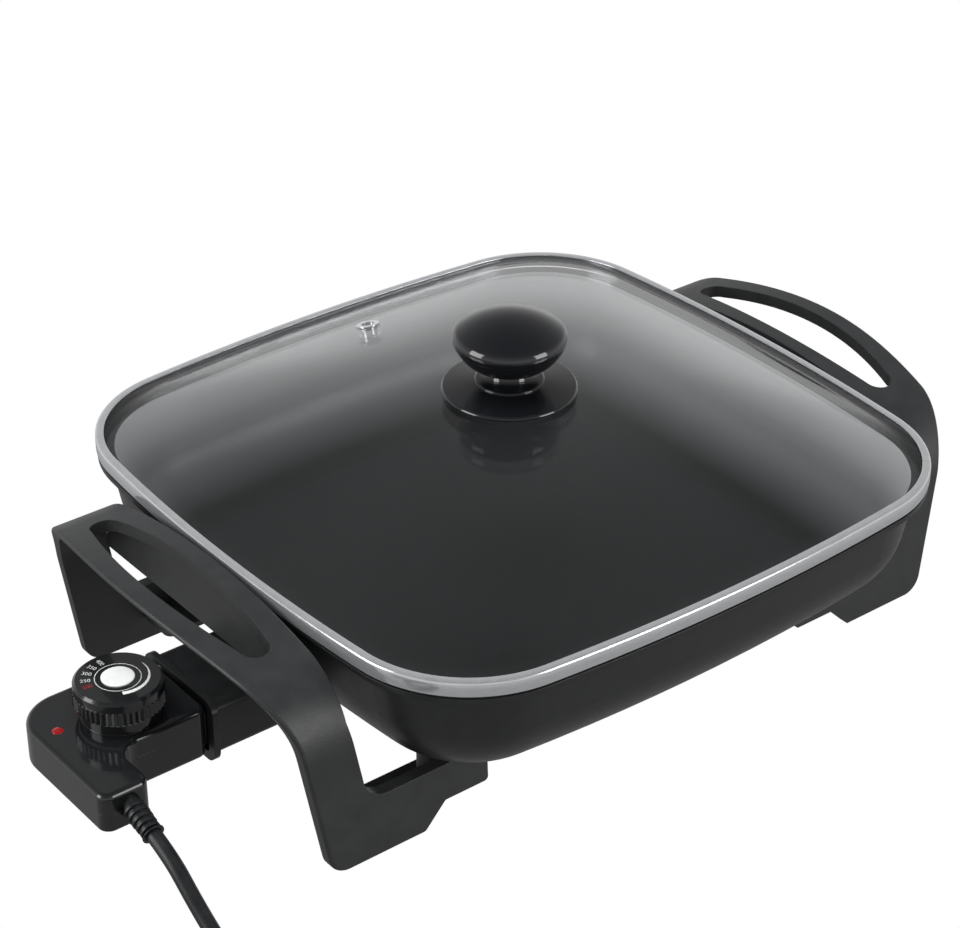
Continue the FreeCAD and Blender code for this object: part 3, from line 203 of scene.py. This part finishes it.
# Handles
# Each end has one compression moulding of phenolic: an arched grip on two legs, screwed to the
# pan. Under the grip's inner edge hangs a thin skirt that keeps fingers off the hot wall.
SKIRT_INNER = 160.3
SKIRT_THICK = 1.7
SKIRT_LOW = 64.0
SKIRT_CREST = 98.3
SKIRT_END = [(80, 85.5), (84, 80), (89, SKIRT_LOW)]
SKIRT_ROUND = 0.5
ARCH_RADIUS = 320.0
SEAM = 0.002


def select(piece):
    bpy.ops.object.select_all(action="DESELECT")
    piece.select_set(True)
    bpy.context.view_layer.objects.active = piece


def new_piece(name, points, edges=(), faces=()):
    # A mesh of these points, which is left selected
    mesh = bpy.data.meshes.new(name)
    mesh.from_pydata([(x / 1000, y / 1000, z / 1000) for x, y, z in points], edges, faces)
    piece = bpy.data.objects.new(name, mesh)
    scene.collection.objects.link(piece)
    select(piece)
    return piece


def extrude_all(move):
    bpy.ops.object.mode_set(mode="EDIT")
    bpy.ops.mesh.select_all(action="SELECT")
    bpy.ops.mesh.extrude_region_move(TRANSFORM_OT_translate={"value": [way / 1000 for way in move]})
    bpy.ops.object.mode_set(mode="OBJECT")


def turn_outwards():
    # Doubles are merged, and every face of the selected piece then points outwards
    bpy.ops.object.mode_set(mode="EDIT")
    bpy.ops.mesh.select_all(action="SELECT")
    bpy.ops.mesh.remove_doubles(threshold=SEAM / 1000)
    bpy.ops.mesh.normals_make_consistent(inside=False)
    bpy.ops.object.mode_set(mode="OBJECT")


def apply_modifiers(piece):
    select(piece)
    for modifier in list(piece.modifiers):
        bpy.ops.object.modifier_apply(modifier=modifier.name)


def settle(piece, made, body):
    # The place goes into the mesh, then the piece takes its finish and follows its body
    select(piece)
    bpy.ops.object.transform_apply(location=True, rotation=True, scale=True)
    piece.data.materials.clear()
    piece.data.materials.append(made)
    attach(piece, body)


def handle_skirt(name, side):
    # Its top runs inside the arched grip, and its ends run into the two legs
    top = [(y, SKIRT_CREST - y * y / (2 * ARCH_RADIUS)) for y in range(-74, 75, 4)]
    edge = [(-y, z) for y, z in reversed(SKIRT_END)] + top + SKIRT_END
    skirt = new_piece(name, [(side * SKIRT_INNER, y, z) for y, z in edge],
                      faces=[tuple(range(len(edge)))])
    extrude_all((side * SKIRT_THICK, 0, 0))
    turn_outwards()
    rounding = skirt.modifiers.new("rounding", "BEVEL")
    rounding.width = SKIRT_ROUND / 1000
    rounding.segments = 3
    apply_modifiers(skirt)
    bpy.ops.object.shade_smooth_by_angle(angle=math.radians(30))
    settle(skirt, phenolic, "base")


# Matt charcoal with a fine stipple from the mould, so that edges catch only a soft light
phenolic = finish("charcoal_phenolic", ("2a2b2c", "303132"), 0.9, 0.16, 0.44, 0.05)
dress(phenolic, "handle_phenolic")
handle_skirt("left_handle_skirt", -1)
handle_skirt("right_handle_skirt", 1)


# Socket guard
# A sleeve of bent sheet steel stands round the terminals and is held by two screws. It is coated
# with satin black enamel against rust.
def satin(name, colours, rough, coat):
    # Smooth from the spray or the mould: a soft sheen under a thin clear skin
    return finish(name, colours, 0.8, 0.07, rough, 0.04, Coat_Weight=coat, Coat_Roughness=0.08)


dress(satin("satin_black_enamel", ("1d1e1f", "242526"), 0.42, 0.1), "guard_enamel")


# Lid band
# A strip of stainless steel is rolled over the edge of the glass: a flat flange on top, a rounded
# shoulder and a straight skirt. The small ring in the steam hole is of the same polished steel.
RIM_HALF_X = 158.0
RIM_HALF_Y = 155.0
RIM_CORNER = 60.5
SIDE_BOW = 1000.0
# The band's cross-section, as (inset, height) pairs
BAND_SECTION = ((4.0, 100.75), (3.95, 101.3), (3.7, 101.48), (2.2, 101.5), (0.95, 101.46),
                (0.45, 101.25), (0.13, 100.85), (0.0, 100.3), (0.0, 98.0), (0.0, 95.0),
                (0.1, 94.5), (0.35, 94.25), (0.65, 94.25), (0.9, 94.5), (0.9, 100.6))


def outline(half_x, half_y, corner, bow, side_steps=14, corner_steps=20):
    # Points round a square with bowed sides and round corners, each arc tangent to the next
    side_x, side_y, reach = half_x - bow, half_y - bow, bow - corner
    span = math.hypot(side_x, side_y)
    away = math.sqrt(reach * reach - span * span / 4)
    centre = (side_x / 2 - side_y * away / span, side_y / 2 - side_x * away / span)
    turn_x = math.atan2(centre[1], centre[0] - side_x)
    turn_y = math.atan2(centre[1] - side_y, centre[0])
    points = []
    for quarter in range(4):
        start = quarter * math.pi / 2
        low, high, side, middle = turn_x, turn_y, side_x, centre
        if quarter % 2:
            low, high = math.pi / 2 - turn_y, math.pi / 2 - turn_x
            side, middle = side_y, (centre[1], centre[0])
        cosine, sine = math.cos(start), math.sin(start)
        for step in range(side_steps):
            angle = start - low + 2 * low * step / side_steps
            points.append((side * cosine + bow * math.cos(angle),
                           side * sine + bow * math.sin(angle)))
        for step in range(corner_steps):
            angle = start + low + (high - low) * step / corner_steps
            points.append((middle[0] * cosine - middle[1] * sine + corner * math.cos(angle),
                           middle[0] * sine + middle[1] * cosine + corner * math.sin(angle)))
    return points


def rim_outline(inset):
    return outline(RIM_HALF_X - inset, RIM_HALF_Y - inset, RIM_CORNER - inset, SIDE_BOW)


def layered(name, layers, closed):
    # Outlines at their heights become rings of a mesh; a closed one joins its last to its first
    count = len(layers[0][0])
    rings = len(layers)
    points = [(x, y, z) for ring, z in layers for x, y in ring]
    faces = []
    for ring in range(rings if closed else rings - 1):
        after = (ring + 1) % rings
        for i in range(count):
            k = (i + 1) % count
            faces.append((ring * count + i, ring * count + k, after * count + k, after * count + i))
    if not closed:
        faces.append(tuple(range((rings - 1) * count, rings * count)))
    return new_piece(name, points, faces=faces)


# Bright but brushed by the rolling, with lines that run round the rim
rim_steel = finish("polished_rim_steel", ("dcdee1", "e6e7ea"), 0.5, 0.04, 0.15, 0.04,
                   (1.0, 1.0, 8.0), Metallic=0.75)
dress(rim_steel, "band_steel")
band = layered("lid_band_rolled",
               [(rim_outline(inset), height) for inset, height in BAND_SECTION], True)
turn_outwards()
bpy.ops.object.shade_smooth_by_angle(angle=math.radians(30))
settle(band, rim_steel, "lid")
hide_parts("lid_band")


# Lid glass
# One pane of clear tempered glass is pressed to a low dome, with a flat edge that sits in the
# band. The little lamp under the controller's red window is of clear glass too.
GLASS_TOP = 100.6
GLASS_THICK = 4.0
GLASS_INSET = 1.0
DOME_HALF = 150.1
DOME_UNEVEN = 3.0
DOME_CORNER = 55.0
DOME_CORNER_FROM = 60.0
DOME_RISE = 27.1
DOME_POWER = 2.2
DOME_SHARES = (1.0, 0.98, 0.95, 0.91, 0.86, 0.8, 0.73, 0.65, 0.56, 0.46, 0.36, 0.27, 0.2)


def tempered_glass():
    # Light goes straight through. The pane mirrors more at a low angle, and wiping has left faint
    # smears on it, some 40 mm wide
    made = bpy.data.materials.new("tempered_glass")
    made.use_nodes = True
    made.node_tree.nodes.remove(made.node_tree.nodes["Principled BSDF"])
    place = node(made, "ShaderNodeTexCoord")
    wipe = node(made, "ShaderNodeTexNoise", [("Vector", place, "Object")], Scale=24.0, Detail=3.0)
    film = node(made, "ShaderNodeMapRange", [("Value", wipe, "Fac")], To_Min=0.02, To_Max=0.09)
    clear = node(made, "ShaderNodeBsdfTransparent", Color=linear("f8f9f9"))
    mirror = node(made, "ShaderNodeBsdfGlossy", [("Roughness", film, "Result")],
                  Color=linear("ffffff"))
    facing = node(made, "ShaderNodeLayerWeight", Blend=0.5)
    steep = node(made, "ShaderNodeMath", [(0, facing, "Facing")])
    steep.operation = "POWER"
    steep.inputs[1].default_value = 4.0
    share = node(made, "ShaderNodeMapRange", [("Value", steep, "Value")], To_Min=0.035, To_Max=0.9)
    mixed = node(made, "ShaderNodeMixShader",
                 [("Fac", share, "Result"), (1, clear, "BSDF"), (2, mirror, "BSDF")])
    join(made, mixed, "Shader", made.node_tree.nodes["Material Output"], "Surface")
    return made


glass = tempered_glass()
dress(glass, "lid_glass", "lamp_glass")
glass_layers = [(rim_outline(GLASS_INSET), GLASS_TOP)]
# Each ring of the dome is a smaller and rounder copy of the rim
for share in DOME_SHARES:
    half = DOME_HALF * share
    corner = min(DOME_CORNER + max(half - DOME_CORNER_FROM, 0) * (1 - share), 0.96 * half)
    bow = max(SIDE_BOW * share ** 2, 1.3 * half)
    ring = outline(half, half - DOME_UNEVEN * share, corner, bow)
    glass_layers.append((ring, GLASS_TOP + DOME_RISE * (1 - share ** DOME_POWER)))
pane = layered("lid_glass_pane", glass_layers, False)
extrude_all((0, 0, -GLASS_THICK))
turn_outwards()
bpy.ops.object.shade_smooth_by_angle(angle=math.radians(40))
settle(pane, glass, "lid")
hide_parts("lid_glass")


# Lid seal
# A ring of black silicone keeps the glass from rattling in its band. A small gasket of the same
# silicone lies between the glass and the knob.
def rubber(name, colours, rough):
    # Dull, with little mirror light and a faint grain from the mould
    return finish(name, colours, 0.7, 0.14, rough, 0.05, Specular_IOR_Level=0.4)


silicone = rubber("black_silicone", ("1a1a1b", "202122"), 0.5)
dress(silicone, "seal_rubber")


# Knob
# A flared base and a mushroom cap are moulded in black plastic and polished. One screw through
# both holds them on the crest of the dome. Each is turned from (radius, height) pairs.
CREST = 126.914
BASE_LOW = CREST + 1.2
SHELF = BASE_LOW + 4.4
NECK = CREST + 11.0
EQUATOR = CREST + 28.0
CROWN = EQUATOR + 10.4
BORE = 2.8
BASE_RADIUS = 30.0
COLLAR_RADIUS = 15.5
CAP_SEAT = 10.5
CAP_SHOULDER = 24.2
SHOULDER_RISE = 2.8
CROWN_STEPS = 20


def bend(start, middle, end, count):
    # Points on a smooth curve through three points
    points = []
    for step in range(1, count + 1):
        t = step / count
        pulled = [2 * m - (s + e) / 2 for s, m, e in zip(start, middle, end)]
        points.append(tuple((1 - t) ** 2 * s + 2 * t * (1 - t) * p + t * t * e
                            for s, p, e in zip(start, pulled, end)))
    return points


def turned(name, profile):
    # The closed profile is spun once round the knob's upright axis
    count = len(profile)
    piece = new_piece(name, [(r, 0, z) for r, z in profile],
                      edges=[(i, (i + 1) % count) for i in range(count)])
    bpy.ops.object.mode_set(mode="EDIT")
    bpy.ops.mesh.select_all(action="SELECT")
    bpy.ops.mesh.spin(steps=128, angle=2 * math.pi, center=(0, 0, 0), axis=(0, 0, 1))
    bpy.ops.object.mode_set(mode="OBJECT")
    turn_outwards()
    bpy.ops.object.shade_smooth_by_angle(angle=math.radians(28))
    return piece


def glossy_black(name, colours, rough):
    # Polished moulding: deep black, with sharp highlights in a clear skin and a slight waviness
    return finish(name, colours, 4.0, 0.015, rough, 0.025, Coat_Weight=0.6, Coat_Roughness=0.04)


knob_gloss = glossy_black("polished_black_knob", ("16171a", "16171a"), 0.10)
dress(knob_gloss, "knob_plastic")

base_profile = [(BORE, BASE_LOW), (BASE_RADIUS, BASE_LOW)]
base_profile += bend((BASE_RADIUS, BASE_LOW), (30.8, BASE_LOW + 0.7),
                     (BASE_RADIUS, BASE_LOW + 1.8), 6)
base_profile += bend((BASE_RADIUS, BASE_LOW + 1.8), (22.4, SHELF - 1.3), (COLLAR_RADIUS, SHELF), 14)
base_profile += bend((COLLAR_RADIUS, SHELF), (15.7, SHELF + 0.7), (14.9, SHELF + 1.3), 4)
base_profile += bend((14.9, SHELF + 1.3), (11.4, SHELF + 2.4), (9.6, NECK), 10)
base_profile += [(BORE, NECK)]
knob_base = turned("knob_base_turned", base_profile)
settle(knob_base, knob_gloss, "lid")
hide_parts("knob_base")

cap_profile = [(BORE, NECK), (CAP_SEAT, NECK), (CAP_SEAT, NECK + 0.9), (11.3, NECK + 1.1)]
cap_profile += bend((11.3, NECK + 1.1), (19.0, EQUATOR - 12.0), (CAP_SHOULDER, EQUATOR - 5.6), 16)
cap_profile += bend((CAP_SHOULDER, EQUATOR - 5.6), (25.8, EQUATOR - 1.0),
                    (CAP_SHOULDER, EQUATOR + SHOULDER_RISE), 14)
rise = CROWN - EQUATOR - SHOULDER_RISE
ball = (CAP_SHOULDER ** 2 + rise ** 2) / (2 * rise)
for step in range(1, CROWN_STEPS + 1):
    reach = CAP_SHOULDER * (1 - step / CROWN_STEPS)
    cap_profile.append((reach, CROWN - ball + math.sqrt(ball * ball - reach * reach)))
cap_profile += [(0, EQUATOR - 4), (BORE, EQUATOR - 4)]
knob_cap = turned("knob_cap_turned", cap_profile)
settle(knob_cap, knob_gloss, "lid")
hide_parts("lid_knob")


# Heat controller
# Two glossy black shells, screwed together, hold a polished steel probe, brass clips for the
# terminals and a red window over the lamp. Woven sleeves cover the leads inside.
dress(glossy_black("polished_black_housing", ("191a1c", "191a1a"), 0.16), "housing_plastic")
# The probe shines along its length, and brass is warm and a little dull
dress(finish("polished_probe_steel", ("bfc1c4", "e6e7ea"), 0.5, 0.04, 0.18, 0.04,
             (0.15, 1.0, 1.0), Metallic=0.75), "probe_steel")
dress(drawn_metal("plain_brass", ("b08d4a", "c29d58"), 0.3), "contact_brass")
# The window glows slightly at its edge, as clear red plastic does, and the sleeves are chalky
dress(finish("translucent_red", ("8e1418", "a31a1c"), 0.8, 0.06, 0.16, 0.03,
             Subsurface_Weight=0.2, Coat_Weight=0.5), "lens_red")
dress(rubber("woven_lead_sleeve", ("c2bba9", "d3ccbb"), 0.7), "lead_insulation")


# Dial
# A knurled black grip turns on a grey ring and carries a white cap in its middle. On its flat top
# stand a thin ring, a wedge that widens with the heat, and the temperatures, all in printed ink.
DIAL_X = -213.0
DIAL_Y = -5.0
DIAL_TOP = 66.0
INK_THICK = 0.06
NUMBER_REACH = 13.6
NUMBER_SIZE = 3.0


def printing_ink(name, colour):
    # One flat colour, a little duller than the gloss beneath it
    return finish(name, (colour, colour), 0.3, 0.05, 0.38, 0.05)


def printed_arc(name, ink, start, end, inner, outer, steps):
    points = []
    faces = []
    for step in range(steps + 1):
        share = step / steps
        angle = math.radians(start + (end - start) * share)
        for low, high in (inner, outer):
            reach = low + (high - low) * share
            points.append((reach * math.cos(angle), reach * math.sin(angle), 0))
    for first in range(0, 2 * steps, 2):
        faces.append((first, first + 1, first + 3, first + 2))
    arc = new_piece(name, points, faces=faces)
    turn_outwards()
    arc.modifiers.new("thickness", "SOLIDIFY").thickness = INK_THICK / 1000
    apply_modifiers(arc)
    arc.location = (DIAL_X / 1000, DIAL_Y / 1000, (DIAL_TOP + INK_THICK) / 1000)
    settle(arc, ink, "dial")


def printed_number(text, ink, angle):
    bpy.ops.object.text_add()
    number = bpy.context.object
    number.name = "dial_number_" + text
    number.data.body = text
    number.data.size = NUMBER_SIZE / 1000
    number.data.align_x = "CENTER"
    number.data.align_y = "CENTER"
    number.data.extrude = INK_THICK / 2000
    select(number)
    bpy.ops.object.convert(target="MESH")
    turn = math.radians(angle)
    number.rotation_euler = (0, 0, turn + math.pi)
    number.location = ((DIAL_X + NUMBER_REACH * math.cos(turn)) / 1000,
                       (DIAL_Y + NUMBER_REACH * math.sin(turn)) / 1000,
                       (DIAL_TOP + INK_THICK / 2) / 1000)
    settle(number, ink, "dial")


dress(glossy_black("polished_black_dial", ("1b1c1e", "1b1c1a"), 0.18), "dial_plastic")
dress(satin("satin_grey_ring", ("84868a", "93959a"), 0.34, 0.1), "dial_grey")
dress(satin("white_cap", ("e9eaea", "f2f3f3"), 0.28, 0.4), "cap_white")
ink_white = printing_ink("white_ink", "e8e9e9")
ink_red = printing_ink("red_ink", "b02a2a")
# Each arc has its two ends in degrees, and its inner and outer radius at those ends
printed_arc("dial_thin_ring", ink_white, 0, 360, (9.6, 9.6), (9.95, 9.95), 128)
printed_arc("dial_heat_wedge", ink_white, 12, -112, (13.7, 10.6), (14.0, 12.9), 72)
for text, ink, angle in (("400", ink_white, 92), ("350", ink_white, 112),
                         ("300", ink_white, 132), ("250", ink_white, 153),
                         ("200", ink_red, 172)):
    printed_number(text, ink, angle)


# Cord
# One rubber cord leaves the controller's ribbed sleeve, drops to the table and lies in a coil of
# two flat spirals, with a moulded vinyl plug at its end. Its places are in metres.
CORD_RADIUS = 0.0035
CORD_X = -0.237
EXIT = (CORD_X, -0.06726, 0.03403)
ROUTE = [(-0.0806, 0.0299), (-0.0950, 0.0190), (-0.1104, 0.0083), (-0.1284, 0.0036),
         (-0.1490, 0.0036)]
DRIFT = [0.0, 0.0, 0.0005, -0.0004, -0.0004]
COIL_RADIUS = 0.042
COIL_PITCH = 0.0087
COIL_LEAD = 0.007
TURNS_IN = 1.5
TURNS_CLIMB = 0.5
PER_TURN = 24
PLUG_LEAD = 0.030
# The curve runs inside its control points, so the coil's points stand this much wider
WIDEN = 1.0086

# Dull black, as a rubber jacket is; the plug's vinyl is a shade greyer
cord_jacket = rubber("black_cord_jacket", ("1c1d1f", "242527"), 0.38)
dress(cord_jacket, "cord_jacket")
dress(rubber("black_plug_vinyl", ("1e1f20", "262729"), 0.46), "plug_vinyl")

places = [EXIT] + [(CORD_X + drift, y, z) for (y, z), drift in zip(ROUTE, DRIFT)]
coil_x = places[-1][0] - COIL_RADIUS
coil_y = places[-1][1] - COIL_LEAD
inner_radius = COIL_RADIUS - TURNS_IN * COIL_PITCH
climb_end = TURNS_IN + TURNS_CLIMB
for step in range(int((climb_end + TURNS_IN) * PER_TURN) + 1):
    turn = step / PER_TURN
    if turn <= TURNS_IN:
        radius, rise = COIL_RADIUS - turn * COIL_PITCH, 0.0
    elif turn < climb_end:
        share = (turn - TURNS_IN) / TURNS_CLIMB
        radius, rise = inner_radius, COIL_PITCH * (1 - math.cos(math.pi * share)) / 2
    else:
        radius, rise = inner_radius + (turn - climb_end) * COIL_PITCH, COIL_PITCH
    angle = -2 * math.pi * turn
    places.append((coil_x + radius * WIDEN * math.cos(angle),
                   coil_y + radius * WIDEN * math.sin(angle), ROUTE[-1][1] + rise))
places.append((places[-1][0], places[-1][1] + PLUG_LEAD, places[-1][2]))

cord_data = bpy.data.curves.new("cord_line", "CURVE")
cord_data.dimensions = "3D"
spline = cord_data.splines.new("NURBS")
spline.points.add(len(places) - 1)
for point, place in zip(spline.points, places):
    point.co = (*place, 1.0)
spline.order_u = 3
spline.use_endpoint_u = True
spline.resolution_u = 6
cord_data.bevel_depth = CORD_RADIUS
cord_data.bevel_resolution = 7
cord_data.use_fill_caps = True
cord_piece = bpy.data.objects.new("cord_line", cord_data)
scene.collection.objects.link(cord_piece)
cord_data.materials.append(cord_jacket)
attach(cord_piece, "controller")
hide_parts("cord", "cord_coil")


# Coil tie
# A flat strap of silicone holds the four strands of the coil together where they run along X.
# It is a closed ring, with its thickness and its rounded edges in one cross-section.
TIE_WIDE = 8.5
TIE_TALL = 8.3
TIE_CORNER = 3.6
TIE_REACH = 35.45
TIE_HEIGHT = 8.3
# The strap's cross-section, as (inset, place along the cord) pairs
TIE_SECTION = ((0.0, -3.3), (0.0, 3.3), (0.15, 3.5), (0.65, 3.5),
               (0.8, 3.3), (0.8, -3.3), (0.65, -3.5), (0.15, -3.5))


def rounded_ring(half_wide, half_tall, radius, steps=8):
    points = []
    for quarter, (side, up) in enumerate(((1, 1), (-1, 1), (-1, -1), (1, -1))):
        for step in range(steps + 1):
            angle = math.pi / 2 * (quarter + step / steps)
            points.append((side * (half_wide - radius) + radius * math.cos(angle),
                           up * (half_tall - radius) + radius * math.sin(angle)))
    return points


tie = layered("coil_tie",
              [(rounded_ring(TIE_WIDE - inset, TIE_TALL - inset, TIE_CORNER - inset), along)
               for inset, along in TIE_SECTION], True)
turn_outwards()
bpy.ops.object.shade_smooth_by_angle(angle=math.radians(30))
tie.rotation_euler = (math.pi / 2, 0, math.pi / 2)
tie.location = (coil_x, coil_y - TIE_REACH / 1000, TIE_HEIGHT / 1000)
settle(tie, silicone, "controller")


# World
# The camera sees plain white behind the skillet. Reflections see a studio instead, brightest at
# the height of its walls and darker overhead.
ROOM_STOPS = ((0.2, "8c8c8c"), (0.50, "dcdcdc"), (0.62, "b4b4b4"), (0.76, "8e8e8e"),
              (1.0, "4a4a4a"))

world = bpy.data.worlds.new("studio")
scene.world = world
world.use_nodes = True
world.node_tree.nodes.clear()
place = node(world, "ShaderNodeTexCoord")
split = node(world, "ShaderNodeSeparateXYZ", [("Vector", place, "Generated")])
height = node(world, "ShaderNodeMapRange", [("Value", split, "Z")], From_Min=-1.0)
shades = node(world, "ShaderNodeValToRGB", [("Fac", height, "Result")], stops=ROOM_STOPS)
room = node(world, "ShaderNodeBackground", [("Color", shades, "Color")])
white = node(world, "ShaderNodeBackground", Color=(1.0, 1.0, 1.0, 1.0))
path = node(world, "ShaderNodeLightPath")
mixed = node(world, "ShaderNodeMixShader",
             [("Fac", path, "Is Camera Ray"), (1, room, "Background"), (2, white, "Background")])
node(world, "ShaderNodeOutputWorld", [("Surface", mixed, "Shader")])


# Lights
# A wide box overhead gives light but no mirror image of itself, and a low box stands to the left
# and to the right. Places and sizes are in metres, and powers in watts.
def soft_box(name, place, aim, size, power, mirrored=True):
    data = bpy.data.lights.new(name, "AREA")
    data.shape = "RECTANGLE"
    data.size, data.size_y = size
    data.energy = power
    lamp = bpy.data.objects.new(name, data)
    scene.collection.objects.link(lamp)
    lamp.location = place
    lamp.rotation_mode = "QUATERNION"
    lamp.rotation_quaternion = (Vector(aim) - lamp.location).to_track_quat("-Z", "Y")
    lamp.visible_glossy = mirrored


soft_box("over_light", (-0.2, 0.1, 1.6), (0, 0, 0.1), (1.2, 1.2), 26.0, False)
soft_box("left_light", (-1.2, 0.35, 0.45), (0, 0, 0.12), (0.6, 0.8), 7.0)
soft_box("right_light", (0.55, -1.25, 0.45), (0, 0, 0.12), (0.6, 0.8), 7.0)
